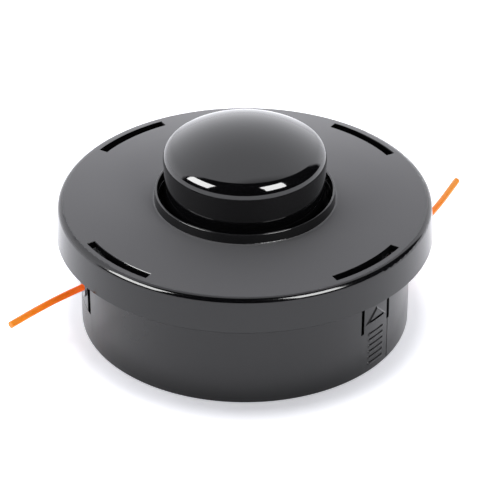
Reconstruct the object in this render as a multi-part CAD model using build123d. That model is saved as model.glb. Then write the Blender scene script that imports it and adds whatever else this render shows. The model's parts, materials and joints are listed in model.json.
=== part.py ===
from build123d import *

import math
import os

# Tap-feed line trimmer head, standing on its mounting face with the knob up.
# Millimetres. The origin is the centre of the mounting face and +Z runs along the drive axis to the knob.

# Overlap by which joined features run into each other and cuts run past a face
weld = 0.5

# Height difference within which edges count as level
level_tolerance = 0.001

# Cap: a flat plate with a deep skirt, a centre hole and a collar round the knob
cap_radius = 65.1  # at the upper edge
cap_skirt_flare = 0.9  # by which the skirt is wider at its bottom
cap_plate = 2.5
cap_skirt_wall = 2.2
cap_skirt_height = 13.1
cap_skirt_chamfer = 0.4
cap_edge_radius = 2.2
cap_hole_edge_radius = 0.4
cap_collar_wall = 2.2
cap_seat_gap = 0.3
cap_rib_count = 8
cap_rib_width = 1.6
cap_rib_depth = 3.0

# Raised lip round the cap's hole
lip_rise = 3.8
lip_width = 0.9
lip_draft = 0.35  # by which the lip is wider at its foot
lip_edge_radius = 0.3
lip_foot_fillet = 0.6

# Bayonet: lugs on the cap's skirt lie under lugs on the housing wall, below slots through the plate
bayonet_count = 4
bayonet_angle = 43.7
lug_reach = 4.4  # of the housing's lugs, outwards from its wall
lug_skirt_gap = 0.4
lug_wall_gap = 1.3  # from the housing's wall to the cap's lugs
lug_run_gap = 0.3
lug_half_angle = 13.4
cap_lug_height = 2.4
housing_lug_height = 2.7
slot_wall_gap = 0.5  # from the housing's wall to the slot above it
slot_skirt_gap = 1.4
slot_half_angle = 13.9
slot_chamfer = 0.25

# Housing: a round cup with a hub in its floor
housing_wall = 2.5
housing_height = 43.9
housing_floor = 2.6
housing_edge_chamfer = 0.4
hub_radius = 13.2
hub_height = 19.0
shaft_hole_radius = 5.4
shaft_hole_chamfer = 0.6

# Moulded pockets between ribs in the mounting face
pocket_depth = 1.0
pocket_hub_rim = 3.8
pocket_outer_rim = 6.7
pocket_count = 8
pocket_rib_width = 3.0

# Drive nut, a hexagon held in the hub
nut_across_flats = 17.0
nut_height = 10.0
nut_bore_radius = 4.35
nut_seat_height = 5.6
nut_corner_chamfer = 0.8
nut_fit = 0.1

# Latch tabs: tongues of the housing wall between two slits, each with a shallow panel below
tab_angles = (-39.2, 140.8)
tab_half_angle = 7.0
tab_slit_width = 1.5
tab_slit_bottom = 16.8
tab_panel_depth = 0.1
tab_catch_height = 0.9
tab_catch_width = 3.0

# Line outlets: a guide plate in a notch of the wall, with a rounded metal eyelet
outlet_angles = {"left": 193.5, "right": 13.5}
outlet_height = 20.25
notch_drop = 8.25  # from the outlet's middle to the notch's bottom
notch_half_angle = 9.1
notch_corner_radius = 1.0
guide_half_angle = 6.1
guide_flange_half_angle = 11.5
guide_flange = 1.1
guide_flange_drop = 3.0
guide_fit = 0.1
guide_seam = 0.25
eyelet_throat_radius = 2.9
eyelet_rim_land = 0.2
eyelet_lip_proud = 0.4
eyelet_fit = 0.05

# Cutting line
line_diameter = 2.4
line_turns_per_layer = 3
line_side_gap = 0.15

# Spool: three flanges on a hollow core
press_travel = 6.0
spool_floor_gap = 0.7
spool_wall_gap = 1.6  # to the outlet guides inside the housing's wall
spool_core_wall = 2.8
spool_lower_flange = 1.8
spool_middle_flange = 1.3
spool_upper_flange = 2.0
spool_web = 2.4
spool_web_hole_radius = 9.0
spool_run_gap = 0.25
winding_rim = 8.4  # free depth of a chamber outside its winding
line_notch_width = 4.0
line_notch_depth = 9.0

# Stop dogs between spool and cap
dog_count = 4
dog_width = 10.0
dog_collar_gap = 1.8
dog_rim_gap = 6.4
dog_height = 5.6
dog_floor_gap = 1.6
dog_ramp = 3.0
dog_ramp_start = 0.4  # share of the dog's height
dog_rest_gap_angle = 0.8

# Bump knob: a domed shell snapped over a ring on the spool
knob_radius = 28.4  # at the shoulder
knob_neck_inset = 0.9  # from the shoulder to the neck in the cap's hole
knob_hole_gap = 2.1
knob_rise = 28.3
knob_wall = 2.6
knob_dome_radius = 47.0
knob_shoulder_radius = 6.0
knob_fit = 0.15
knob_rib_count = 4
knob_rib_width = 2.0
knob_rib_depth = 14.0
knob_ring_height = 5.0
knob_ring_wall = 2.4
snap_height = 2.0
snap_width = 1.0
snap_depth = 0.5

# Spring round the hub, and the thrust washer on it
spring_wire_diameter = 1.8
spring_wire_sides = 8
spring_hub_gap = 1.75
spring_open_turns = 4.5
spring_end_turns = 1.0
spring_end_pitch = 1.84
spring_points_per_turn = 12
washer_thickness = 1.2
washer_hub_gap = 0.6
washer_rim = 1.15
washer_run_gap = 0.15
washer_side_gap = 0.7

# Free ends of the line, from inside each eyelet to the cut end
line_bend_share = 0.45  # share of each straight run that a bend may use
line_routes = {
    "left": [(-53.73, -12.14, 18.7), (-62.79, -19.88, 18.7), (-71.92, -28.38, 18.3), (-80.28, -36.8, 17.6)],
    "right": [
        (54.05, 11.86, 18.8),
        (61.24, 22.55, 18.8),
        (68.1, 34.57, 18.85),
        (73.99, 46.54, 18.85),
        (78.9, 57.98, 18.8),
    ],
}

# Worked-out radii, from the cap inwards
skirt_inner_radius = cap_radius - cap_skirt_wall
housing_radius = skirt_inner_radius - lug_skirt_gap - lug_reach
housing_inner_radius = housing_radius - housing_wall
slot_inner_radius = housing_radius + slot_wall_gap
slot_outer_radius = skirt_inner_radius - slot_skirt_gap
cap_lug_inner_radius = housing_radius + lug_wall_gap
pocket_inner_radius = hub_radius + pocket_hub_rim
pocket_outer_radius = housing_radius - pocket_outer_rim
guide_outer_face = housing_inner_radius - guide_fit
guide_inner_face = guide_outer_face - guide_flange
spool_radius = guide_inner_face - spool_wall_gap
winding_radius = spool_radius - winding_rim
cap_hole_radius = knob_radius + knob_hole_gap
collar_radius = cap_hole_radius + cap_collar_wall
lip_outer_radius = cap_hole_radius + lip_width
dog_inner_radius = collar_radius + dog_collar_gap
dog_outer_radius = spool_radius - dog_rim_gap
knob_neck_radius = knob_radius - knob_neck_inset
knob_inner_radius = knob_neck_radius - knob_wall
knob_ring_radius = knob_inner_radius - knob_fit
spring_mean_radius = hub_radius + spring_hub_gap + spring_wire_diameter / 2
washer_inner_radius = hub_radius + washer_hub_gap
washer_outer_radius = spring_mean_radius + spring_wire_diameter / 2 + washer_rim
spool_core_bore_radius = washer_outer_radius + washer_side_gap
spool_core_radius = spool_core_bore_radius + spool_core_wall
eyelet_length = housing_radius + eyelet_lip_proud - guide_inner_face
eyelet_radius = eyelet_throat_radius + eyelet_length / 2 + eyelet_rim_land

# Worked-out heights, from the mounting face up
plate_bottom = housing_height + cap_seat_gap
cap_top = plate_bottom + cap_plate
lip_top = cap_top + lip_rise
skirt_bottom = cap_top - cap_skirt_height
cap_lug_top = skirt_bottom + cap_lug_height
notch_bottom = outlet_height - notch_drop
chamber_height = line_turns_per_layer * line_diameter + 2 * line_side_gap
spool_bottom = housing_floor + press_travel + spool_floor_gap
lower_chamber_bottom = spool_bottom + spool_lower_flange
lower_chamber_top = lower_chamber_bottom + chamber_height
upper_chamber_bottom = lower_chamber_top + spool_middle_flange
upper_chamber_top = upper_chamber_bottom + chamber_height
spool_top = upper_chamber_top + spool_upper_flange
web_bottom = spool_top - spool_web
washer_top = web_bottom - washer_run_gap
washer_bottom = washer_top - washer_thickness
knob_ring_top = spool_top + knob_ring_height
knob_apex = cap_top + knob_rise

# Worked-out angles of the stop dogs
dog_contact_angle = 2 * math.degrees(math.asin(dog_width / 2 / dog_inner_radius))
spool_dog_angle = dog_contact_angle + dog_rest_gap_angle
spool_turn_range = 360 / dog_count - 2 * spool_dog_angle


def turned(*points):
    """Solid of revolution about Z of a closed outline of (radius, height) points."""
    outline = Polyline(*points, close=True)
    return revolve(Plane.XZ * make_face(outline), Axis.Z)


def ring_sector(inner, outer, low, high, angle, half_angle):
    """Part of a ring between two radii and two heights, centred on an angle about Z."""
    outline = Polyline((inner, low), (outer, low), (outer, high), (inner, high), close=True)
    sector = revolve(Plane.XZ * make_face(outline), Axis.Z, revolution_arc=2 * half_angle)
    return Rot(0, 0, angle - half_angle) * sector


def radial_block(inner, outer, width, low, high, angle):
    """Straight block that runs outwards at an angle about Z."""
    block = Pos((inner + outer) / 2, 0, (low + high) / 2) * Box(outer - inner, width, high - low)
    return Rot(0, 0, angle) * block


def evenly(count, first=0.0):
    """Angles of a pattern spread over a full turn."""
    return [first + index * 360 / count for index in range(count)]


def stop_dog(root, tip, angle, ramp_side):
    """Stop dog from its root height to its tip height, with a ramp on one side of its tip."""
    half = dog_width / 2
    ramp_height = root + (tip - root) * dog_ramp_start
    outline = Polyline(
        (-half * ramp_side, root),
        (half * ramp_side, root),
        (half * ramp_side, ramp_height),
        ((half - dog_ramp) * ramp_side, tip),
        (-half * ramp_side, tip),
        close=True,
    )
    face = Plane(origin=(dog_inner_radius, 0, 0), x_dir=(0, 1, 0), z_dir=(1, 0, 0)) * make_face(outline)
    return Rot(0, 0, angle) * extrude(face, dog_outer_radius - dog_inner_radius)


def domed_cylinder(radius, neck_radius, neck_top, bottom, apex, dome_radius, shoulder_radius):
    """Cylinder that widens above its neck up to a shoulder arc, with a dome tangent to that arc."""
    reach = dome_radius - shoulder_radius
    offset = radius - shoulder_radius
    rise = math.sqrt(reach**2 - offset**2)
    slope = math.atan2(offset, rise)
    dome_centre = apex - dome_radius
    shoulder_centre = dome_centre + rise

    def on_dome(angle):
        return (dome_radius * math.sin(angle), dome_centre + dome_radius * math.cos(angle))

    def on_shoulder(angle):
        return (
            offset + shoulder_radius * math.sin(angle),
            shoulder_centre + shoulder_radius * math.cos(angle),
        )

    middle = (slope + math.pi / 2) / 2
    outline = [
        Line((0, bottom), (neck_radius, bottom)),
        Line((neck_radius, bottom), (neck_radius, neck_top)),
        Line((neck_radius, neck_top), (radius, shoulder_centre)),
        ThreePointArc((radius, shoulder_centre), on_shoulder(middle), on_dome(slope)),
        ThreePointArc(on_dome(slope), on_dome(slope / 2), (0, apex)),
        Line((0, apex), (0, bottom)),
    ]
    return revolve(Plane.XZ * make_face(outline), Axis.Z)


def edges_at(shape, height):
    """Edges of a shape whose middle lies at one height."""
    return shape.edges().filter_by_position(Axis.Z, height - level_tolerance, height + level_tolerance)


def rims_at(shape, height):
    """Circles of a shape at one height, the smallest first."""
    return edges_at(shape, height).filter_by(GeomType.CIRCLE).sort_by(SortBy.RADIUS)


def make_housing():
    cup = turned(
        (shaft_hole_radius, shaft_hole_chamfer),
        (shaft_hole_radius + shaft_hole_chamfer, 0),
        (housing_radius - housing_edge_chamfer, 0),
        (housing_radius, housing_edge_chamfer),
        (housing_radius, housing_height),
        (housing_inner_radius, housing_height),
        (housing_inner_radius, housing_floor),
        (hub_radius, housing_floor),
        (hub_radius, hub_height),
        (shaft_hole_radius, hub_height),
    )
    lug_low = cap_lug_top + lug_run_gap
    lug_outer = skirt_inner_radius - lug_skirt_gap
    for angle in evenly(bayonet_count, bayonet_angle):
        cup += ring_sector(
            housing_radius - weld, lug_outer, lug_low, lug_low + housing_lug_height, angle, lug_half_angle
        )
    pocket_half_angle = 180 / pocket_count
    for angle in evenly(pocket_count):
        pocket = ring_sector(
            pocket_inner_radius, pocket_outer_radius, -weld, pocket_depth, angle, pocket_half_angle
        )
        for side in (-pocket_half_angle, pocket_half_angle):
            pocket -= radial_block(
                0, pocket_outer_radius + weld, pocket_rib_width, -2 * weld, pocket_depth + weld, angle + side
            )
        cup -= pocket
    nut_pocket = RegularPolygon(nut_across_flats / 2 + nut_fit, 6, major_radius=False)
    cup -= Pos(0, 0, nut_seat_height) * extrude(nut_pocket, hub_height)
    for angle in tab_angles:
        cup -= ring_sector(
            housing_radius - tab_panel_depth,
            housing_radius + weld,
            -weld,
            skirt_bottom,
            angle,
            tab_half_angle,
        )
        for side in (-tab_half_angle, tab_half_angle):
            cup -= radial_block(
                housing_inner_radius - weld,
                cap_radius,
                tab_slit_width,
                tab_slit_bottom,
                housing_height + weld,
                angle + side,
            )
        cup += radial_block(
            housing_inner_radius + weld,
            housing_radius + tab_catch_height,
            tab_catch_width,
            skirt_bottom,
            cap_lug_top,
            angle,
        )
    for angle in outlet_angles.values():
        cup -= outlet_notch(angle)
    return cup


def outlet_notch(angle):
    """Notch through the wall, open at the rim, with rounded bottom corners."""
    half_width = housing_radius * math.sin(math.radians(notch_half_angle))
    top = housing_height + weld
    outline = Rectangle(2 * half_width, top - notch_bottom)
    corners = outline.vertices().sort_by(Axis.Y)[:2]
    outline = fillet(corners, notch_corner_radius)
    inner = housing_inner_radius * math.cos(math.radians(notch_half_angle)) - weld
    plane = Plane(origin=(inner, 0, (top + notch_bottom) / 2), x_dir=(0, 1, 0), z_dir=(1, 0, 0))
    return Rot(0, 0, angle) * (plane * extrude(outline, housing_radius + weld - inner))


def make_drive_nut():
    corner_radius = nut_across_flats / math.sqrt(3)
    hexagon = extrude(RegularPolygon(nut_across_flats / 2, 6, major_radius=False), nut_height)
    rounding = turned(
        (0, 0),
        (corner_radius - nut_corner_chamfer, 0),
        (corner_radius, nut_corner_chamfer),
        (corner_radius, nut_height - nut_corner_chamfer),
        (corner_radius - nut_corner_chamfer, nut_height),
        (0, nut_height),
    )
    bore = Cylinder(nut_bore_radius, nut_height, align=(Align.CENTER, Align.CENTER, Align.MIN))
    return Pos(0, 0, nut_seat_height) * ((hexagon & rounding) - bore)


def make_cap():
    collar_bottom = spool_top + spool_run_gap
    skirt_radius = cap_radius + cap_skirt_flare
    cover = turned(
        (lip_outer_radius, lip_top),
        (cap_hole_radius, lip_top),
        (cap_hole_radius, collar_bottom),
        (collar_radius, collar_bottom),
        (collar_radius, plate_bottom),
        (skirt_inner_radius, plate_bottom),
        (skirt_inner_radius, skirt_bottom),
        (skirt_radius - cap_skirt_chamfer, skirt_bottom),
        (skirt_radius, skirt_bottom + cap_skirt_chamfer),
        (cap_radius, cap_top),
        (lip_outer_radius + lip_draft, cap_top),
    )
    cover = fillet(rims_at(cover, cap_top)[-1], cap_edge_radius)
    cover = fillet(rims_at(cover, cap_top)[0], lip_foot_fillet)
    cover = fillet(rims_at(cover, lip_top)[0], cap_hole_edge_radius)
    cover = fillet(rims_at(cover, lip_top)[-1], lip_edge_radius)
    for angle in evenly(bayonet_count, bayonet_angle):
        cover -= ring_sector(
            slot_inner_radius, slot_outer_radius, plate_bottom - weld, cap_top + weld, angle, slot_half_angle
        )
    slot_edges = [edge for edge in edges_at(cover, cap_top) if not edge.is_closed]
    cover = chamfer(slot_edges, slot_chamfer)
    for angle in evenly(bayonet_count, bayonet_angle):
        cover += ring_sector(
            cap_lug_inner_radius, skirt_inner_radius + weld, skirt_bottom, cap_lug_top, angle, lug_half_angle
        )
    for angle in evenly(dog_count):
        cover += stop_dog(plate_bottom + weld, spool_top + dog_floor_gap, angle, -1)
        cover += radial_block(
            collar_radius - weld,
            dog_inner_radius + weld,
            dog_width - 2 * dog_ramp,
            spool_top + dog_height,
            plate_bottom + weld,
            angle,
        )
    for angle in evenly(cap_rib_count, 180 / cap_rib_count):
        cover += radial_block(
            collar_radius - weld,
            guide_inner_face - weld,
            cap_rib_width,
            plate_bottom - cap_rib_depth,
            plate_bottom + weld,
            angle,
        )
    return cover


def make_outlet_guide(angle):
    plate_bottom_edge = notch_bottom + guide_seam
    plate = ring_sector(
        guide_outer_face - weld, housing_radius, plate_bottom_edge, housing_height, angle, guide_half_angle
    )
    plate += ring_sector(
        guide_inner_face,
        guide_outer_face,
        notch_bottom - guide_flange_drop,
        housing_height,
        angle,
        guide_flange_half_angle,
    )
    hole = Cylinder(eyelet_radius + eyelet_fit, 2 * (eyelet_length + weld))
    return plate - Rot(0, 0, angle) * Pos(housing_radius, 0, outlet_height) * Rot(0, 90, 0) * hole


def make_eyelet(angle):
    lip = eyelet_length / 2
    flank = eyelet_throat_radius + lip
    outline = [
        Line((eyelet_radius, 0), (eyelet_radius, eyelet_length)),
        Line((eyelet_radius, eyelet_length), (flank, eyelet_length)),
        ThreePointArc((flank, eyelet_length), (eyelet_throat_radius, lip), (flank, 0)),
        Line((flank, 0), (eyelet_radius, 0)),
    ]
    ring = revolve(Plane.XZ * make_face(outline), Axis.Z)
    return Rot(0, 0, angle) * Pos(guide_inner_face, 0, outlet_height) * Rot(0, 90, 0) * ring


def make_spool():
    body = turned(
        (spool_web_hole_radius, spool_top),
        (knob_ring_radius - knob_ring_wall, spool_top),
        (knob_ring_radius - knob_ring_wall, knob_ring_top),
        (knob_ring_radius, knob_ring_top),
        (knob_ring_radius, spool_top + snap_height + snap_width),
        (knob_ring_radius - snap_depth, spool_top + snap_height + snap_width),
        (knob_ring_radius - snap_depth, spool_top + snap_height),
        (knob_ring_radius, spool_top + snap_height),
        (knob_ring_radius, spool_top),
        (spool_radius, spool_top),
        (spool_radius, upper_chamber_top),
        (spool_core_radius, upper_chamber_top),
        (spool_core_radius, upper_chamber_bottom),
        (spool_radius, upper_chamber_bottom),
        (spool_radius, lower_chamber_top),
        (spool_core_radius, lower_chamber_top),
        (spool_core_radius, lower_chamber_bottom),
        (spool_radius, lower_chamber_bottom),
        (spool_radius, spool_bottom),
        (spool_core_bore_radius, spool_bottom),
        (spool_core_bore_radius, web_bottom),
        (spool_web_hole_radius, web_bottom),
    )
    for angle in evenly(dog_count, spool_dog_angle):
        body += stop_dog(spool_top - weld, spool_top + dog_height, angle, 1)
    for angle in evenly(2):
        body -= radial_block(
            spool_radius - line_notch_depth,
            spool_radius + weld,
            line_notch_width,
            lower_chamber_top - weld,
            spool_top + weld,
            angle + spool_dog_angle + 180 / dog_count,
        )
    return body


def make_bump_knob():
    shell = domed_cylinder(
        knob_radius,
        knob_neck_radius,
        cap_top,
        spool_top,
        knob_apex,
        knob_dome_radius,
        knob_shoulder_radius,
    )
    hollow = domed_cylinder(
        knob_radius - knob_wall,
        knob_inner_radius,
        cap_top,
        spool_top - weld,
        knob_apex - knob_wall,
        knob_dome_radius - knob_wall,
        knob_shoulder_radius - knob_wall,
    )
    rib_bottom = knob_apex - knob_wall - knob_rib_depth
    ribs = radial_block(0, knob_radius, knob_rib_width, rib_bottom, knob_apex, 0)
    for angle in evenly(knob_rib_count)[1:]:
        ribs += radial_block(0, knob_radius, knob_rib_width, rib_bottom, knob_apex, angle)
    bead_reach = snap_depth - knob_fit
    bead_middle = spool_top + snap_height + snap_width / 2
    bead = turned(
        (knob_inner_radius + weld, bead_middle - bead_reach),
        (knob_inner_radius, bead_middle - bead_reach),
        (knob_inner_radius - bead_reach, bead_middle),
        (knob_inner_radius, bead_middle + bead_reach),
        (knob_inner_radius + weld, bead_middle + bead_reach),
    )
    return shell - (hollow - ribs) + bead


def make_winding(bottom):
    """One chamber's stored line as a ring with a rounded turn for each place across the chamber."""
    radius = line_diameter / 2
    low = bottom + line_side_gap
    high = low + line_turns_per_layer * line_diameter
    crest = winding_radius - radius
    outline = [
        Line((crest, high), (spool_core_radius, high)),
        Line((spool_core_radius, high), (spool_core_radius, low)),
        Line((spool_core_radius, low), (crest, low)),
    ]
    for turn in range(line_turns_per_layer):
        start = low + turn * line_diameter
        outline.append(
            ThreePointArc((crest, start), (winding_radius, start + radius), (crest, start + line_diameter))
        )
    return revolve(Plane.XZ * make_face(outline), Axis.Z)


def make_spring():
    """Compression spring with closed end turns, from the housing floor to the washer."""
    turns = spring_open_turns + 2 * spring_end_turns
    rise = washer_bottom - housing_floor - spring_wire_diameter
    open_pitch = (rise - 2 * spring_end_turns * spring_end_pitch) / spring_open_turns

    def wire_point(turn):
        opened = min(max(turn - spring_end_turns, 0), spring_open_turns)
        height = spring_end_pitch * turn + (open_pitch - spring_end_pitch) * opened
        angle = 2 * math.pi * turn
        return (spring_mean_radius * math.cos(angle), spring_mean_radius * math.sin(angle), height)

    steps = round(turns * spring_points_per_turn)
    path = Spline(*[wire_point(turns * step / steps) for step in range(steps + 1)])
    wire = RegularPolygon(spring_wire_diameter / 2, spring_wire_sides)
    coil = sweep(Plane(origin=path @ 0, z_dir=path % 0) * wire, path=path, is_frenet=True)
    return Pos(0, 0, housing_floor + spring_wire_diameter / 2) * coil


def make_thrust_washer():
    return turned(
        (washer_inner_radius, washer_bottom),
        (washer_outer_radius, washer_bottom),
        (washer_outer_radius, washer_top),
        (washer_inner_radius, washer_top),
    )


def make_line_tail(route):
    """Free end of the line: straight runs joined by tangent arcs, as large as the runs allow."""
    points = [Vector(*point) for point in route]
    runs = [after - before for before, after in zip(points, points[1:])]
    radii = []
    for before, after in zip(runs, runs[1:]):
        turn = math.radians(before.get_angle(after))
        radii.append(line_bend_share * min(before.length, after.length) / math.tan(turn / 2))
    print("line bend radii", [round(radius, 1) for radius in radii])
    path = FilletPolyline(*points, radius=radii)
    section = Plane(origin=path @ 0, z_dir=path % 0) * Circle(line_diameter / 2)
    tail = sweep(section, path=path)
    straight_volume = math.pi * line_diameter**2 / 4 * path.length
    print("line length", round(path.length, 2), "volume ratio", round(tail.volume / straight_volume, 5))
    return tail


def main():
    nodes = {
        "housing": make_housing(),
        "drive_nut": make_drive_nut(),
        "cap": make_cap(),
        "spool": make_spool(),
        "bump_knob": make_bump_knob(),
        "winding_lower": make_winding(lower_chamber_bottom),
        "winding_upper": make_winding(upper_chamber_bottom),
        "spring": make_spring(),
        "thrust_washer": make_thrust_washer(),
    }
    for side, angle in outlet_angles.items():
        nodes["outlet_guide_" + side] = make_outlet_guide(angle)
        nodes["eyelet_" + side] = make_eyelet(angle)
        nodes["line_tail_" + side] = make_line_tail(line_routes[side])
    os.makedirs("parts", exist_ok=True)
    for name, shape in nodes.items():
        export_step(shape, "parts/" + name + ".step")
    print("spool turn range", round(spool_turn_range, 2), "cap top", cap_top, "knob apex", knob_apex)


main()
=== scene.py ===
import json
import math

import bmesh
import bpy
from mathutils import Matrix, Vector


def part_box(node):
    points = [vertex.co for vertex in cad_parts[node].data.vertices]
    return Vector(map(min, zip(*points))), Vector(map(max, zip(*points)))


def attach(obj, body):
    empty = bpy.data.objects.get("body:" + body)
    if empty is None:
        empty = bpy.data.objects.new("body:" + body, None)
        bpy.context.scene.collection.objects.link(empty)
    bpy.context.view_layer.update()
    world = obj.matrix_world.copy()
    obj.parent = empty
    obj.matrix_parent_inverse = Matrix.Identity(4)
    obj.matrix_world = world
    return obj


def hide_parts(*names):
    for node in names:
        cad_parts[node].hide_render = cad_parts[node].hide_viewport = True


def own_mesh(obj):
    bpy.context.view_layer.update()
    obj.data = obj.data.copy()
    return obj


bl_info = {
    "name": "Trimmer head",
    "version": (1, 0, 0),
    "blender": (4, 5, 0),
    "location": "3D View > Sidebar > Trimmer head",
    "description": "Dresses the packed line trimmer head and sets up its studio",
    "category": "Object",
}

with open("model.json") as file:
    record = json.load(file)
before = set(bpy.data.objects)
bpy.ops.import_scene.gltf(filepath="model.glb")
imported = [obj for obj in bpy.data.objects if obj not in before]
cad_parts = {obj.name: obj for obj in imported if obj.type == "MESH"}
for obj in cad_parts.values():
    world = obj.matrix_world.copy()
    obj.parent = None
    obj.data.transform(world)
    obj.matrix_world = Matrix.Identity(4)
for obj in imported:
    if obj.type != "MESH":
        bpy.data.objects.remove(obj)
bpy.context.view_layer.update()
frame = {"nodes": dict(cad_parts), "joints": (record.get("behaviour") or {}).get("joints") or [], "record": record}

MM = 0.001
IMAGE_SIDE = 480
SENSOR_WIDTH = 36.0

# Free ends of the line, from inside each eyelet to the cut end
LINE_ROUTES = {
    "left": [
        (-0.05373, -0.01214, 0.0187),
        (-0.06279, -0.01988, 0.0187),
        (-0.07192, -0.02838, 0.0183),
        (-0.08028, -0.0368, 0.0176),
    ],
    "right": [
        (0.05405, 0.01186, 0.0188),
        (0.06124, 0.02255, 0.0188),
        (0.0681, 0.03457, 0.01885),
        (0.07399, 0.04654, 0.01885),
        (0.0789, 0.05798, 0.0188),
    ],
}

# Latch tabs of the housing, as angles about the drive axis in degrees
TAB_ANGLES = {"front": -39.2, "back": 140.8}


class TrimmerHeadForm(bpy.types.PropertyGroup):
    """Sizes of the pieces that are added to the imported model."""

    line_diameter: bpy.props.FloatProperty(
        name="Line diameter",
        description="Thickness of the cutting line",
        default=2.4 * MM,
        unit="LENGTH",
    )
    thread_pitch: bpy.props.FloatProperty(
        name="Thread pitch",
        description="Pitch of the left-hand drive thread",
        default=1.25 * MM,
        unit="LENGTH",
    )
    thread_depth: bpy.props.FloatProperty(
        name="Thread depth",
        description="From the thread's core to its root",
        default=0.65 * MM,
        unit="LENGTH",
    )
    nut_chamfer: bpy.props.FloatProperty(
        name="Nut chamfer",
        description="Chamfer on the nut's corners",
        default=0.8 * MM,
        unit="LENGTH",
    )
    spring_wire: bpy.props.FloatProperty(
        name="Spring wire",
        description="Diameter of the spring's wire",
        default=1.8 * MM,
        unit="LENGTH",
    )
    mark_rise: bpy.props.FloatProperty(
        name="Mark rise",
        description="Height of the tab's raised marks",
        default=0.4 * MM,
        unit="LENGTH",
    )
    mark_slope: bpy.props.FloatProperty(
        name="Mark slope",
        description="Width of the slope round the tab's triangle",
        default=0.8 * MM,
        unit="LENGTH",
    )


class TrimmerHeadFinish(bpy.types.PropertyGroup):
    """Colours and gloss of the finishes."""

    plastic_colour: bpy.props.FloatVectorProperty(
        name="Black plastic",
        description="Colour of the moulded parts",
        default=(0.004, 0.004, 0.0045),
        subtype="COLOR",
    )
    cap_roughness: bpy.props.FloatProperty(
        name="Cap roughness",
        description="Roughness of the cap's skirt and collar",
        default=0.1,
        subtype="FACTOR",
    )
    # Painted sheen: the cap's upper face is given a lighter grey than the black plastic, in place of its
    # reflection of the bright tent
    plate_sheen_colour: bpy.props.FloatVectorProperty(
        name="Cap plate",
        description="Colour of the cap's satin upper face",
        default=(0.122, 0.122, 0.129),
        subtype="COLOR",
    )
    plate_roughness: bpy.props.FloatProperty(
        name="Plate roughness",
        description="Roughness of the cap's satin upper face",
        default=0.8,
        subtype="FACTOR",
    )
    housing_roughness: bpy.props.FloatProperty(
        name="Housing roughness",
        description="Roughness of the housing and the outlet guides",
        default=0.24,
        subtype="FACTOR",
    )
    knob_roughness: bpy.props.FloatProperty(
        name="Knob roughness",
        description="Roughness of the bump knob",
        default=0.06,
        subtype="FACTOR",
    )
    line_colour: bpy.props.FloatVectorProperty(
        name="Line",
        description="Colour of the cutting line at the eyelet",
        default=(0.95, 0.135, 0.018),
        subtype="COLOR",
    )
    line_tip_colour: bpy.props.FloatVectorProperty(
        name="Line tip",
        description="Colour of the line at its cut end",
        default=(0.74, 0.235, 0.005),
        subtype="COLOR",
    )
    # Painted glow: the free line ends emit their own colour, so that they stay bright where the head shades them
    line_painted_glow: bpy.props.FloatProperty(
        name="Line glow",
        description="Fluorescence of the line in the open",
        default=0.55,
        subtype="FACTOR",
    )
    steel_colour: bpy.props.FloatVectorProperty(
        name="Steel",
        description="Colour of the metal parts",
        default=(0.6, 0.59, 0.57),
        subtype="COLOR",
    )
    eyelet_colour: bpy.props.FloatVectorProperty(
        name="Eyelets",
        description="Colour of the blackened eyelets",
        default=(0.2, 0.2, 0.21),
        subtype="COLOR",
    )


class TrimmerHeadStudio(bpy.types.PropertyGroup):
    """Camera and light."""

    target_height: bpy.props.FloatProperty(
        name="Target height",
        description="Point on the axis that the camera faces",
        default=30 * MM,
        unit="LENGTH",
    )
    distance: bpy.props.FloatProperty(
        name="Distance",
        description="From the camera to its target",
        default=924.2 * MM,
        unit="LENGTH",
    )
    elevation: bpy.props.FloatProperty(
        name="Elevation",
        description="Camera above the horizon",
        default=math.radians(31.95),
        subtype="ANGLE",
    )
    focal_pixels: bpy.props.FloatProperty(
        name="Focal length",
        description="In pixels of the 480 pixel image",
        default=2626.15,
    )
    target_x: bpy.props.FloatProperty(
        name="Target X",
        description="The target's pixel across the image",
        default=244.9,
    )
    target_y: bpy.props.FloatProperty(
        name="Target Y",
        description="The target's pixel down the image",
        default=237.48,
    )
    tent_wall: bpy.props.FloatProperty(
        name="Tent wall",
        description="Brightness of the white tent near the floor",
        default=1.85,
        min=0.0,
    )
    tent_top: bpy.props.FloatProperty(
        name="Tent top",
        description="Brightness of the white tent overhead",
        default=1.4,
        min=0.0,
    )
    tent_light: bpy.props.FloatProperty(
        name="Tent light",
        description="Share of the tent's brightness that lights the object",
        default=0.4,
        min=0.0,
    )
    floor_glow: bpy.props.FloatProperty(
        name="Floor glow",
        description="Share of the floor's white that is not lit, near the object",
        default=0.49,
        min=0.0,
    )
    white: bpy.props.FloatVectorProperty(
        name="White",
        description="Colour of the tent and the floor",
        default=(0.98, 0.985, 1.03),
        subtype="COLOR",
    )


def joint_named(name):
    return next(joint for joint in frame["joints"] if joint["name"] == name)


def mount_named(name):
    return next(mount for mount in frame["record"]["mounts"] if mount["name"] == name)


# Mesh building

# Decimals to which corners are compared, in degrees and in metres
ANGLE_DECIMALS = 5
LENGTH_DECIMALS = 8


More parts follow.
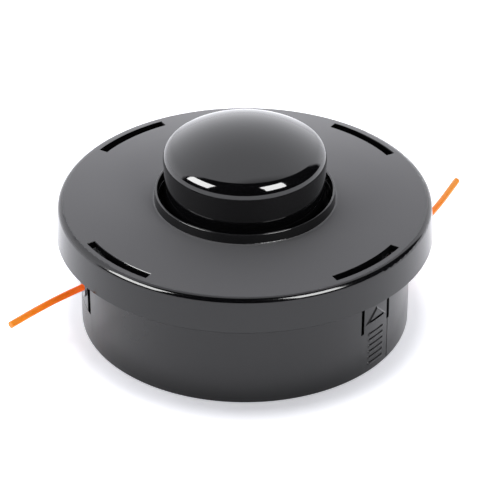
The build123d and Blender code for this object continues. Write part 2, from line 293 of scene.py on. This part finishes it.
class Turned:
    """Mesh carried round the drive axis, from outlines of (radius, height) points at a row of angles."""

    def __init__(self):
        self.mesh = bmesh.new()
        self.corners = {}

    def corner(self, angle, point):
        """Corner at an angle in degrees, made once for all the faces that meet there."""
        radius, height = point
        key = (
            round(angle % 360, ANGLE_DECIMALS),
            round(radius, LENGTH_DECIMALS),
            round(height, LENGTH_DECIMALS),
        )
        if key not in self.corners:
            turn = math.radians(angle)
            place = (radius * math.cos(turn), radius * math.sin(turn), height)
            self.corners[key] = self.mesh.verts.new(place)
        return self.corners[key]

    def face(self, corners):
        distinct = list(dict.fromkeys(corners))
        if len(distinct) > 2:
            self.mesh.faces.new(distinct)

    def carry(self, angles, outline_at):
        """Walls of the closed outline that outline_at gives for each angle."""
        for low, high in zip(angles, angles[1:]):
            start, stop = outline_at(low), outline_at(high)
            for index in range(len(start)):
                self.face(
                    [
                        self.corner(low, start[index - 1]),
                        self.corner(high, stop[index - 1]),
                        self.corner(high, stop[index]),
                        self.corner(low, start[index]),
                    ]
                )

    def finish(self, name, crease):
        bmesh.ops.recalc_face_normals(self.mesh, faces=self.mesh.faces)
        return mesh_object(name, self.mesh, crease)


def mesh_object(name, mesh, crease):
    """Object of a finished bmesh, smooth except where it turns by more than the crease angle."""
    data = bpy.data.meshes.new(name)
    mesh.to_mesh(data)
    mesh.free()
    piece = bpy.data.objects.new(name, data)
    bpy.context.scene.collection.objects.link(piece)
    data.shade_smooth()
    data.set_sharp_from_angle(angle=math.radians(crease))
    return piece


def steps(start, stop, count):
    """Evenly spaced values from start to stop."""
    return [start + (stop - start) * index / count for index in range(count + 1)]


def steps_between(start, stop, count):
    """Evenly spaced pairs of values from start to stop."""
    return list(zip(steps(start[0], stop[0], count), steps(start[1], stop[1], count)))


# Finishes

# Middle range of a noise texture, which add_range spreads
NOISE_LOW = 0.3
NOISE_HIGH = 0.7

# Black plastic: scales of its flow clouds and its grain, and the shades that the clouds go between
CLOUD_SCALE = 38
GRAIN_SCALE = 1800
CLOUD_SHADES = (0.8, 1.3)

# Height over which a face changes from satin, with its painted sheen, to gloss
FACE_EDGE = 0.08 * MM

# Cutting line: where its colour starts and stops to change, from the drive axis, its gloss and its clearness
LINE_FADE = (58 * MM, 92 * MM)
LINE_ROUGHNESS = (0.22, 0.38)
LINE_SPECULAR = 0.25
LINE_CLEARNESS = 0.12
LINE_SCATTER = (1.0, 0.35, 0.1)
LINE_SCATTER_DEPTH = 1.2 * MM
STREAK_SCALE = 900
STREAK_DEPTH = 0.02 * MM

# Steel: how much darker and glossier or duller its tool marks are, and their depth
MARK_SHADE = 0.85
MARK_GLOSSIER = 0.06
MARK_DULLER = 0.08
MARK_DEPTH = 0.01 * MM


def new_finish(name):
    """Material with a Principled shader, its node tree and an Object coordinate to place textures by."""
    material = bpy.data.materials.new(name)
    material.use_nodes = True
    tree = material.node_tree
    surface = tree.nodes["Principled BSDF"]
    place = tree.nodes.new("ShaderNodeTexCoord").outputs["Object"]
    return material, tree, surface, place


def add_noise(tree, place, scale, detail):
    noise = tree.nodes.new("ShaderNodeTexNoise")
    noise.inputs["Scale"].default_value = scale
    noise.inputs["Detail"].default_value = detail
    tree.links.new(place, noise.inputs["Vector"])
    return noise.outputs["Fac"]


def add_range(tree, value, low, high, from_low=NOISE_LOW, from_high=NOISE_HIGH):
    """A value's range spread over low to high."""
    spread = tree.nodes.new("ShaderNodeMapRange")
    spread.inputs["From Min"].default_value = from_low
    spread.inputs["From Max"].default_value = from_high
    spread.inputs["To Min"].default_value = low
    spread.inputs["To Max"].default_value = high
    tree.links.new(value, spread.inputs["Value"])
    return spread.outputs["Result"]


def add_math(tree, operation, first, second):
    result = tree.nodes.new("ShaderNodeMath")
    result.operation = operation
    tree.links.new(first, result.inputs[0])
    tree.links.new(second, result.inputs[1])
    return result.outputs["Value"]


def add_colours(tree, value, first, second):
    """Colour that goes from first to second with a value from 0 to 1."""
    mix = tree.nodes.new("ShaderNodeMix")
    mix.data_type = "RGBA"
    mix.inputs["A"].default_value = (*first, 1.0)
    mix.inputs["B"].default_value = (*second, 1.0)
    tree.links.new(value, mix.inputs["Factor"])
    return mix.outputs["Result"]


def add_relief(tree, surface, height, depth):
    bump = tree.nodes.new("ShaderNodeBump")
    bump.inputs["Distance"].default_value = depth
    tree.links.new(height, bump.inputs["Height"])
    tree.links.new(bump.outputs["Normal"], surface.inputs["Normal"])


def add_parts(tree, direction):
    """X, Y and Z of a place or a direction."""
    apart = tree.nodes.new("ShaderNodeSeparateXYZ")
    tree.links.new(direction, apart.inputs["Vector"])
    return apart.outputs


def add_reach(tree, place):
    """Distance from the drive axis."""
    parts = add_parts(tree, place)
    flat = tree.nodes.new("ShaderNodeCombineXYZ")
    tree.links.new(parts["X"], flat.inputs["X"])
    tree.links.new(parts["Y"], flat.inputs["Y"])
    reach = tree.nodes.new("ShaderNodeVectorMath")
    reach.operation = "LENGTH"
    tree.links.new(flat.outputs["Vector"], reach.inputs[0])
    return reach.outputs["Value"]


def scaled(colour, factor):
    return tuple(channel * factor for channel in colour)


def moulded_plastic(name, colour, roughness, ior, clouding, grain_depth):
    """Black moulded plastic: faint flow clouds in colour and gloss, and a fine grain in relief."""
    material, tree, surface, place = new_finish(name)
    clouds = add_noise(tree, place, scale=CLOUD_SCALE, detail=4)
    grain = add_noise(tree, place, scale=GRAIN_SCALE, detail=2)
    dark, light = [scaled(colour, shade) for shade in CLOUD_SHADES]
    clouded = add_colours(tree, add_range(tree, clouds, 0, 1), dark, light)
    tree.links.new(clouded, surface.inputs["Base Color"])
    gloss = add_range(tree, clouds, roughness - clouding, roughness + clouding)
    tree.links.new(gloss, surface.inputs["Roughness"])
    add_relief(tree, surface, grain, grain_depth)
    surface.inputs["IOR"].default_value = ior
    return material


def satin_face_with_painted_sheen(material, low, high, colour, roughness):
    """Gives a plastic a satin face between two heights, in a lighter colour that is painted sheen, and leaves it
    glossy elsewhere.
    """
    tree = material.node_tree
    surface = tree.nodes["Principled BSDF"]
    height = add_parts(tree, tree.nodes.new("ShaderNodeTexCoord").outputs["Object"])["Z"]
    above = add_range(tree, height, 0, 1, low - FACE_EDGE, low)
    below = add_range(tree, height, 1, 0, high, high + FACE_EDGE)
    face = add_math(tree, "MINIMUM", above, below)
    # The lighter colour on the face is painted sheen; the roughness below is the real satin finish
    mix_over(tree, face, surface.inputs["Base Color"], "RGBA", (*colour, 1.0))
    mix_over(tree, face, surface.inputs["Roughness"], "FLOAT", roughness)


def mix_over(tree, face, socket, kind, value):
    """Puts a constant over what a socket is given, where face is 1."""
    mix = tree.nodes.new("ShaderNodeMix")
    mix.data_type = kind
    tree.links.new(socket.links[0].from_socket, mix.inputs["A"])
    mix.inputs["B"].default_value = value
    tree.links.new(face, mix.inputs["Factor"])
    tree.links.new(mix.outputs["Result"], socket)


def extruded_line(name, colour, tip_colour, glow):
    """Fluorescent orange nylon, with a painted glow that it emits as light: yellower towards its cut end, a little
    clear, with faint lines of the die.
    """
    material, tree, surface, place = new_finish(name)
    towards_tip = add_range(tree, add_reach(tree, place), 0, 1, *LINE_FADE)
    shade = add_colours(tree, towards_tip, colour, tip_colour)
    tree.links.new(shade, surface.inputs["Base Color"])
    # Painted glow: the line emits its colour as light, though it is no lamp
    tree.links.new(shade, surface.inputs["Emission Color"])
    surface.inputs["Emission Strength"].default_value = glow
    streaks = add_noise(tree, place, scale=STREAK_SCALE, detail=3)
    tree.links.new(add_range(tree, streaks, *LINE_ROUGHNESS), surface.inputs["Roughness"])
    add_relief(tree, surface, streaks, STREAK_DEPTH)
    surface.inputs["Specular IOR Level"].default_value = LINE_SPECULAR
    surface.inputs["Subsurface Weight"].default_value = LINE_CLEARNESS
    surface.inputs["Subsurface Radius"].default_value = LINE_SCATTER
    surface.inputs["Subsurface Scale"].default_value = LINE_SCATTER_DEPTH
    return material


def worked_steel(name, colour, roughness, scale):
    """Bright steel with fine tool marks."""
    material, tree, surface, place = new_finish(name)
    marks = add_noise(tree, place, scale=scale, detail=5)
    shade = add_colours(tree, add_range(tree, marks, 0, 1), scaled(colour, MARK_SHADE), colour)
    tree.links.new(shade, surface.inputs["Base Color"])
    gloss = add_range(tree, marks, roughness - MARK_GLOSSIER, roughness + MARK_DULLER)
    tree.links.new(gloss, surface.inputs["Roughness"])
    add_relief(tree, surface, marks, MARK_DEPTH)
    surface.inputs["Metallic"].default_value = 1.0
    return material


def dress(material, *nodes):
    """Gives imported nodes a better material."""
    for name in nodes:
        for slot in frame["nodes"][name].material_slots:
            slot.material = material


def add_piece(piece, body, slot, material, *nodes):
    """Finishes a new piece: its material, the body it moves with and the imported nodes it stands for."""
    piece.data.materials.append(material)
    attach(piece, body)
    if nodes:
        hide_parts(*nodes)


# Pieces


class TRIMMER_OT_moulded_parts(bpy.types.Operator):
    """Finish the housing, the cap, the outlet guides and the spool as moulded black plastic"""

    bl_idname = "trimmer.moulded_parts"
    bl_label = "Moulded parts"

    # The cap's satin face, painted lighter as a sheen, reaches from just under its plate to just over the collar's
    # foot
    satin_sheen_below = 0.02 * MM
    satin_sheen_above = 0.35 * MM
    cap_mould = {"ior": 1.5, "clouding": 0.03, "grain_depth": 0.004 * MM}
    housing_mould = {"ior": 1.48, "clouding": 0.04, "grain_depth": 0.006 * MM}
    spool_mould = {"ior": 1.5, "clouding": 0.06, "grain_depth": 0.01 * MM}
    spool_lightness = 5
    spool_roughness = 0.45

    def execute(self, context):
        finish = context.scene.trimmer_finish
        colour = finish.plastic_colour
        cap = moulded_plastic("cap_plastic", colour, finish.cap_roughness, **self.cap_mould)
        plate = joint_named("cap_twist")["pos_m"][2]
        low, high = plate - self.satin_sheen_below, plate + self.satin_sheen_above
        # The cap's upper face gets a painted sheen: a lighter grey over the black plastic
        satin_face_with_painted_sheen(cap, low, high, finish.plate_sheen_colour, finish.plate_roughness)
        dress(cap, "cap")
        housing = moulded_plastic("housing_plastic", colour, finish.housing_roughness, **self.housing_mould)
        dress(housing, "housing")
        guides = moulded_plastic("guide_plastic", colour, finish.housing_roughness, **self.housing_mould)
        dress(guides, "outlet_guide_left", "outlet_guide_right")
        pale = scaled(colour, self.spool_lightness)
        dress(moulded_plastic("spool_plastic", pale, self.spool_roughness, **self.spool_mould), "spool")
        return {"FINISHED"}


class TRIMMER_OT_bump_knob(bpy.types.Operator):
    """Finish the bump knob as polished black plastic"""

    bl_idname = "trimmer.bump_knob"
    bl_label = "Bump knob"

    mould = {"ior": 1.58, "clouding": 0.015, "grain_depth": 0.001 * MM}

    def execute(self, context):
        finish = context.scene.trimmer_finish
        polished = moulded_plastic("knob_plastic", finish.plastic_colour, finish.knob_roughness, **self.mould)
        dress(polished, "bump_knob")
        return {"FINISHED"}


class TRIMMER_OT_line(bpy.types.Operator):
    """Lay the two free ends of the cutting line and finish the stored windings"""

    bl_idname = "trimmer.line"
    bl_label = "Cutting line"

    steps_round = 6
    steps_along = 16

    def execute(self, context):
        diameter = context.scene.trimmer_form.line_diameter
        finish = context.scene.trimmer_finish
        nylon = extruded_line("cutting_line", finish.line_colour, finish.line_tip_colour, finish.line_painted_glow)
        # The windings inside the housing get the same line without the painted glow
        wound = extruded_line("wound_line", finish.line_colour, finish.line_tip_colour, glow=0.0)
        dress(wound, "winding_lower", "winding_upper")
        for side, route in LINE_ROUTES.items():
            curve = bpy.data.curves.new("line_end_" + side, "CURVE")
            curve.dimensions = "3D"
            curve.bevel_depth = diameter / 2
            curve.bevel_resolution = self.steps_round
            curve.use_fill_caps = True
            curve.resolution_u = self.steps_along
            spline = curve.splines.new("NURBS")
            spline.points.add(len(route) - 1)
            for point, place in zip(spline.points, route):
                point.co = (*place, 1.0)
            spline.order_u = 3
            spline.use_endpoint_u = True
            line = bpy.data.objects.new("line_end_" + side, curve)
            context.scene.collection.objects.link(line)
            add_piece(line, "housing", "cutting_line", nylon, "line_tail_" + side)
        return {"FINISHED"}


class TRIMMER_OT_metal_parts(bpy.types.Operator):
    """Finish the eyelets and the thrust washer as steel"""

    bl_idname = "trimmer.metal_parts"
    bl_label = "Metal parts"

    def execute(self, context):
        finish = context.scene.trimmer_finish
        eyelets = worked_steel("eyelet_metal", finish.eyelet_colour, roughness=0.25, scale=500)
        dress(eyelets, "eyelet_left", "eyelet_right")
        washer = worked_steel("zinc_steel", finish.steel_colour, roughness=0.3, scale=300)
        dress(washer, "thrust_washer")
        return {"FINISHED"}


class TRIMMER_OT_drive_nut(bpy.types.Operator):
    """Make the hexagon nut with its left-hand thread"""

    bl_idname = "trimmer.drive_nut"
    bl_label = "Drive nut"

    steps_round = 96
    rows_per_turn = 8
    crease = 30

    # The thread's vee is cut by its flats at crest and root, and the countersink is deeper than the thread
    vee_gain = 1.3
    vee_flat = 0.15
    countersink = 1.5

    def execute(self, context):
        form = context.scene.trimmer_form
        low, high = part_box("drive_nut")
        across_flats = high.y - low.y
        corner = high.x
        bore = mount_named("drive_thread")["dims"]["r_mm"] * MM
        rows = round((high.z - low.z) / form.thread_pitch) * self.rows_per_turn

        def thread_radius(angle, height):
            """Bore radius: a flat-topped vee that winds left-handed, with a countersink at each end."""
            phase = (height - low.z) / form.thread_pitch + angle / 360
            vee = abs(2 * (phase % 1) - 1)
            cut = min(max(self.vee_gain * vee - self.vee_flat, 0), 1) * form.thread_depth
            countersink = self.countersink * form.thread_depth - min(height - low.z, high.z - height)
            return bore + max(cut, countersink)

        def outline(angle):
            """Section through the nut's wall: a chamfered hexagon outside and the thread inside."""
            flat = across_flats / 2 / math.cos(math.radians(angle % 60 - 30))
            inset = max(flat - (corner - form.nut_chamfer), 0)
            shell = [
                (flat - inset, low.z),
                (flat, low.z + inset),
                (flat, high.z - inset),
                (flat - inset, high.z),
            ]
            heights = steps(high.z, low.z, rows)
            return shell + [(thread_radius(angle, height), height) for height in heights]

        nut = Turned()
        nut.carry(steps(0, 360, self.steps_round), outline)
        piece = nut.finish("drive_nut_threaded", self.crease)
        steel_colour = context.scene.trimmer_finish.steel_colour
        steel = worked_steel("nut_steel", steel_colour, roughness=0.32, scale=250)
        add_piece(piece, "housing", "zinc_steel", steel, "drive_nut")
        return {"FINISHED"}


class TRIMMER_OT_spring(bpy.types.Operator):
    """Wind the compression spring, which in the real head shortens as the knob is pressed"""

    bl_idname = "trimmer.spring"
    bl_label = "Spring"

    end_turns = 1.0
    end_spacing = 1.02
    open_turns = 4.5
    steps_per_turn = 32
    wire_sides = 12
    crease = 50
    shade = 0.8

    def execute(self, context):
        wire_diameter = context.scene.trimmer_form.spring_wire
        low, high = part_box("spring")
        wire = wire_diameter / 2
        mean = high.y - wire
        rise = high.z - low.z - wire_diameter
        end_pitch = self.end_spacing * wire_diameter
        open_pitch = (rise - 2 * self.end_turns * end_pitch) / self.open_turns
        turns = self.open_turns + 2 * self.end_turns
        mesh = bmesh.new()
        rings = []
        for turn in steps(0, turns, round(turns * self.steps_per_turn)):
            opened = min(max(turn - self.end_turns, 0), self.open_turns)
            height = low.z + wire + end_pitch * turn + (open_pitch - end_pitch) * opened
            angle = 2 * math.pi * turn
            outward = Vector((math.cos(angle), math.sin(angle), 0))
            ring = []
            for side in range(self.wire_sides):
                around = 2 * math.pi * side / self.wire_sides
                place = outward * (mean + wire * math.cos(around))
                place.z = height + wire * math.sin(around)
                ring.append(mesh.verts.new(place))
            rings.append(ring)
        for before, after in zip(rings, rings[1:]):
            for side in range(self.wire_sides):
                mesh.faces.new((before[side - 1], after[side - 1], after[side], before[side]))
        mesh.faces.new(rings[0])
        mesh.faces.new(rings[-1])
        bmesh.ops.recalc_face_normals(mesh, faces=mesh.faces)
        coil = mesh_object("spring_coil", mesh, self.crease)
        colour = scaled(context.scene.trimmer_finish.steel_colour, self.shade)
        steel = worked_steel("spring_steel", colour, roughness=0.3, scale=400)
        add_piece(coil, "housing", "spring_steel", steel, "spring")
        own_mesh(coil)
        return {"FINISHED"}


class TRIMMER_OT_tab_marks(bpy.types.Operator):
    """Raise the triangle sign and plain grip ribs on each latch tab"""

    bl_idname = "trimmer.tab_marks"
    bl_label = "Tab marks"

    # The tab's panel lies this deep in the housing's wall, and the marks are rooted this deep in the panel
    panel_depth = 0.1 * MM
    root_depth = 0.1 * MM
    rib_heights = (15.4 * MM, 13.0 * MM, 10.6 * MM, 8.2 * MM, 5.8 * MM, 3.4 * MM)
    rib_width = 1.3 * MM
    rib_half_angle = 4.2
    rib_end_angle = 0.8
    rib_end_steps = 4
    rib_sides = 6
    triangle_half_angle = 4.3
    triangle_base = 20.4 * MM
    triangle_tip = 24.5 * MM
    triangle_steps = 6
    crease = 40

    def execute(self, context):
        form = context.scene.trimmer_form
        plastic = frame["nodes"]["housing"].material_slots[0].material
        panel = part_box("housing")[1].y - self.panel_depth
        root = panel - self.root_depth
        for side, middle in TAB_ANGLES.items():
            marks = Turned()
            for height in self.rib_heights:
                self.rib(marks, middle, height, root, form.mark_rise)
            self.triangle(marks, middle, root, panel + form.mark_rise, form.mark_slope)
            piece = marks.finish("tab_marks_" + side, self.crease)
            add_piece(piece, "housing", "housing_plastic", plastic)
        return {"FINISHED"}

    def rib(self, marks, middle, height, root, rise):
        """Half-round rib along the wall that runs out into the wall at both ends."""

        def outline(angle):
            left = (self.rib_half_angle - abs(angle - middle)) / self.rib_end_angle
            grown = math.sqrt(max(1 - (1 - min(left, 1)) ** 2, 0))
            points = []
            for turn in steps(0, math.pi, self.rib_sides):
                reach = root + (self.root_depth + rise) * grown * math.sin(turn)
                points.append((reach, height - self.rib_width / 2 * math.cos(turn)))
            return points

        first, last = middle - self.rib_half_angle, middle + self.rib_half_angle
        near_first = steps(first, first + self.rib_end_angle, self.rib_end_steps)
        near_last = steps(last - self.rib_end_angle, last, self.rib_end_steps)
        marks.carry(near_first + near_last, outline)

    def triangle(self, marks, middle, root, crest, slope):
        """Rim of an upright triangle that slopes down outwards and drops steeply inwards."""
        half = self.triangle_half_angle
        half_width = math.radians(half) * root
        rise = self.triangle_tip - self.triangle_base
        grown_tip = self.triangle_tip + slope * math.hypot(rise, half_width) / half_width
        grown_base = self.triangle_base - slope
        grown_half = half * (grown_tip - grown_base) / rise
        inner = self.corners(middle, half, self.triangle_base, self.triangle_tip)
        outer = self.corners(middle, grown_half, grown_base, grown_tip)
        for index in range(len(inner)):
            near = steps_between(outer[index - 1], outer[index], self.triangle_steps)
            far = steps_between(inner[index - 1], inner[index], self.triangle_steps)
            for step in range(self.triangle_steps):
                foot = [marks.corner(angle, (root, height)) for angle, height in near[step : step + 2]]
                brim = [marks.corner(angle, (crest, height)) for angle, height in far[step : step + 2]]
                inside = [marks.corner(angle, (root, height)) for angle, height in far[step : step + 2]]
                for low, high in ((foot, brim), (brim, inside), (inside, foot)):
                    marks.face([*low, *reversed(high)])

    def corners(self, middle, half, base, tip):
        """Corners of a triangle on the wall, as (angle, height)."""
        return [(middle - half, base), (middle + half, base), (middle, tip)]


# Studio


def from_front(azimuth, elevation):
    """Direction at an azimuth from the front, positive to the right, and an elevation, in degrees."""
    turn, lift = math.radians(azimuth), math.radians(elevation)
    return Vector((math.sin(turn) * math.cos(lift), -math.cos(turn) * math.cos(lift), math.sin(lift)))


class TRIMMER_OT_studio(bpy.types.Operator):
    """Set up the white tent, the floor, the lamps and the camera"""

    bl_idname = "trimmer.studio"
    bl_label = "Studio"

    near_clip = 10 * MM

    # The floor's glow grows from the near to the far distance, and its shade varies a little
    floor_half = 3.0
    floor_gap = 0.05 * MM
    floor_near = 0.25
    floor_far = 1.0
    floor_shades = (0.86, 0.88)
    floor_crease = 30
    paper_scale = 6

    # The tent: directions in degrees, and the heights of a direction between which its brightness changes
    ceiling_azimuth = 187.0
    ceiling_elevation = 48.0
    ceiling_half_angle = 47.3
    tent_left_edge = -92.0
    tent_right_edge = 122.0
    tent_softness = 2.5
    tent_heights = (0.2, 0.9)

    # Height of the point on the axis that the lamps face
    lamp_target = 50 * MM

    # Name, azimuth, elevation, distance, width, height, brightness and purpose of each lamp. A highlight only
    # shows in reflections. The others only give light: to everything, to the cap alone or to the floor alone.
    lamps = (
        ("softbox_left", -68.0, 31.0, 1.0, 0.6, 0.46, 16.0, "highlight"),
        ("softbox_right", 44.0, 36.0, 1.0, 0.48, 0.52, 16.0, "highlight"),
        ("fill_left", -68.0, 31.0, 1.0, 0.6, 0.46, 4.0, "light"),
        ("fill_right", 44.0, 36.0, 1.0, 0.48, 0.52, 5.0, "light"),
        ("card_behind", 180.0, 18.0, 0.11, 0.26, 0.06, 5.5, "cap"),
        ("floor_above", 0.0, 90.0, 2.0, 0.7, 0.7, 20.0, "floor"),
        ("floor_left", -120.0, 55.0, 0.8, 0.5, 0.5, 2.2, "floor"),
        ("floor_right", 118.0, 55.0, 0.8, 0.5, 0.5, 1.5, "floor"),
    )

    def execute(self, context):
        scene = context.scene
        studio = scene.trimmer_studio
        scene.view_settings.view_transform = "Standard"
        self.camera(scene, studio)
        lit_alone = {"floor": self.floor(studio), "cap": frame["nodes"]["cap"]}
        self.world(scene, studio)
        for *values, purpose in self.lamps:
            lamp = self.lamp(scene, *values)
            lamp.visible_glossy = purpose == "highlight"
            lamp.visible_diffuse = purpose != "highlight"
            if purpose in lit_alone:
                receivers = bpy.data.collections.new(lamp.name + "_receivers")
                receivers.objects.link(lit_alone[purpose])
                lamp.light_linking.receiver_collection = receivers
        return {"FINISHED"}

    def camera(self, scene, studio):
        data = bpy.data.cameras.new("camera")
        data.sensor_width = SENSOR_WIDTH
        data.lens = studio.focal_pixels * SENSOR_WIDTH / IMAGE_SIDE
        data.shift_x = (IMAGE_SIDE / 2 - studio.target_x) / IMAGE_SIDE
        data.shift_y = (studio.target_y - IMAGE_SIDE / 2) / IMAGE_SIDE
        data.clip_start = self.near_clip
        camera = bpy.data.objects.new("camera", data)
        back = Vector((0, -math.cos(studio.elevation), math.sin(studio.elevation)))
        camera.location = Vector((0, 0, studio.target_height)) + studio.distance * back
        camera.rotation_euler = (math.pi / 2 - studio.elevation, 0, 0)
        scene.collection.objects.link(camera)
        scene.camera = camera

    def floor(self, studio):
        """White floor: lit, so that it keeps the shadow, with a share of white that only shows."""
        mesh = bmesh.new()
        bmesh.ops.create_grid(mesh, x_segments=1, y_segments=1, size=self.floor_half)
        floor = mesh_object("floor", mesh, self.floor_crease)
        floor.location.z = -self.floor_gap
        material, tree, surface, place = new_finish("floor_white")
        paper = add_noise(tree, place, scale=self.paper_scale, detail=3)
        dark, light = [scaled(studio.white, shade) for shade in self.floor_shades]
        colours = add_colours(tree, add_range(tree, paper, 0, 1), dark, light)
        tree.links.new(colours, surface.inputs["Base Color"])
        surface.inputs["Roughness"].default_value = 1.0
        surface.inputs["Specular IOR Level"].default_value = 0.0
        path = tree.nodes.new("ShaderNodeLightPath")
        seen = add_math(tree, "MAXIMUM", path.outputs["Is Camera Ray"], path.outputs["Is Glossy Ray"])
        fade = add_range(tree, add_reach(tree, place), studio.floor_glow, 1, self.floor_near, self.floor_far)
        glow = add_math(tree, "MULTIPLY", seen, fade)
        surface.inputs["Emission Color"].default_value = (*studio.white, 1.0)
        tree.links.new(glow, surface.inputs["Emission Strength"])
        floor.data.materials.append(material)
        return floor

    def world(self, scene, studio):
        """White to the camera, and otherwise a white ceiling and tent with a dark open front."""
        world = bpy.data.worlds.new("tent")
        world.use_nodes = True
        scene.world = world
        tree = world.node_tree
        tree.nodes.clear()
        direction = tree.nodes.new("ShaderNodeTexCoord").outputs["Generated"]
        ceiling_middle = from_front(self.ceiling_azimuth, self.ceiling_elevation)
        ceiling = self.facing(tree, direction, ceiling_middle, self.ceiling_half_angle)
        left = self.facing(tree, direction, from_front(self.tent_left_edge - 90, 0), 90)
        right = self.facing(tree, direction, from_front(self.tent_right_edge + 90, 0), 90)
        back = add_math(tree, "MINIMUM", left, right)
        lit = add_math(tree, "MAXIMUM", ceiling, back)
        height = add_parts(tree, direction)["Z"]
        level = add_range(tree, height, studio.tent_wall, studio.tent_top, *self.tent_heights)
        path = tree.nodes.new("ShaderNodeLightPath")
        share = add_range(tree, path.outputs["Is Diffuse Ray"], 1, studio.tent_light, 0, 1)
        tent = add_math(tree, "MULTIPLY", add_math(tree, "MULTIPLY", lit, level), share)
        background = tree.nodes.new("ShaderNodeBackground")
        strength = add_math(tree, "MAXIMUM", tent, path.outputs["Is Camera Ray"])
        tree.links.new(strength, background.inputs["Strength"])
        colour = add_colours(tree, path.outputs["Is Camera Ray"], studio.white, (1, 1, 1))
        tree.links.new(colour, background.inputs["Color"])
        output = tree.nodes.new("ShaderNodeOutputWorld")
        tree.links.new(background.outputs["Background"], output.inputs["Surface"])

    def facing(self, tree, direction, middle, half_angle):
        """1 for directions within an angle of the middle one, 0 for the others, with a soft edge."""
        towards = tree.nodes.new("ShaderNodeVectorMath")
        towards.operation = "DOT_PRODUCT"
        towards.inputs[1].default_value = middle
        tree.links.new(direction, towards.inputs[0])
        low = math.cos(math.radians(half_angle + self.tent_softness))
        high = math.cos(math.radians(half_angle - self.tent_softness))
        return add_range(tree, towards.outputs["Value"], 0, 1, low, high)

    def lamp(self, scene, name, azimuth, elevation, distance, width, height, brightness):
        """Area lamp that faces the head, where a brightness of 1 is white."""
        data = bpy.data.lights.new(name, "AREA")
        data.shape = "RECTANGLE"
        data.size = width
        data.size_y = height
        data.energy = brightness * math.pi * width * height
        lamp = bpy.data.objects.new(name, data)
        back = from_front(azimuth, elevation)
        lamp.location = Vector((0, 0, self.lamp_target)) + distance * back
        lamp.rotation_euler = back.to_track_quat("Z", "Y").to_euler()
        lamp.visible_camera = False
        scene.collection.objects.link(lamp)
        return lamp


class TRIMMER_PT_head(bpy.types.Panel):
    """Lists the pieces and the values that a user would change"""

    bl_idname = "TRIMMER_PT_head"
    bl_label = "Trimmer head"
    bl_space_type = "VIEW_3D"
    bl_region_type = "UI"
    bl_category = "Trimmer head"

    def draw(self, context):
        scene = context.scene
        for group in (scene.trimmer_form, scene.trimmer_finish, scene.trimmer_studio):
            box = self.layout.box()
            for name in group.__annotations__:
                box.prop(group, name)
        for operator in OPERATORS:
            self.layout.operator(operator.bl_idname)


OPERATORS = (
    TRIMMER_OT_moulded_parts,
    TRIMMER_OT_bump_knob,
    TRIMMER_OT_line,
    TRIMMER_OT_metal_parts,
    TRIMMER_OT_drive_nut,
    TRIMMER_OT_spring,
    TRIMMER_OT_tab_marks,
    TRIMMER_OT_studio,
)
CLASSES = (TrimmerHeadForm, TrimmerHeadFinish, TrimmerHeadStudio, *OPERATORS, TRIMMER_PT_head)


def register():
    for item in CLASSES:
        bpy.utils.register_class(item)
    bpy.types.Scene.trimmer_form = bpy.props.PointerProperty(type=TrimmerHeadForm)
    bpy.types.Scene.trimmer_finish = bpy.props.PointerProperty(type=TrimmerHeadFinish)
    bpy.types.Scene.trimmer_studio = bpy.props.PointerProperty(type=TrimmerHeadStudio)


def unregister():
    del bpy.types.Scene.trimmer_form
    del bpy.types.Scene.trimmer_finish
    del bpy.types.Scene.trimmer_studio
    for item in reversed(CLASSES):
        bpy.utils.unregister_class(item)


def main():
    register()
    bpy.ops.trimmer.moulded_parts()
    bpy.ops.trimmer.bump_knob()
    bpy.ops.trimmer.line()
    bpy.ops.trimmer.metal_parts()
    bpy.ops.trimmer.drive_nut()
    bpy.ops.trimmer.spring()
    bpy.ops.trimmer.tab_marks()
    bpy.ops.trimmer.studio()


if __name__ == "__main__":
    main()
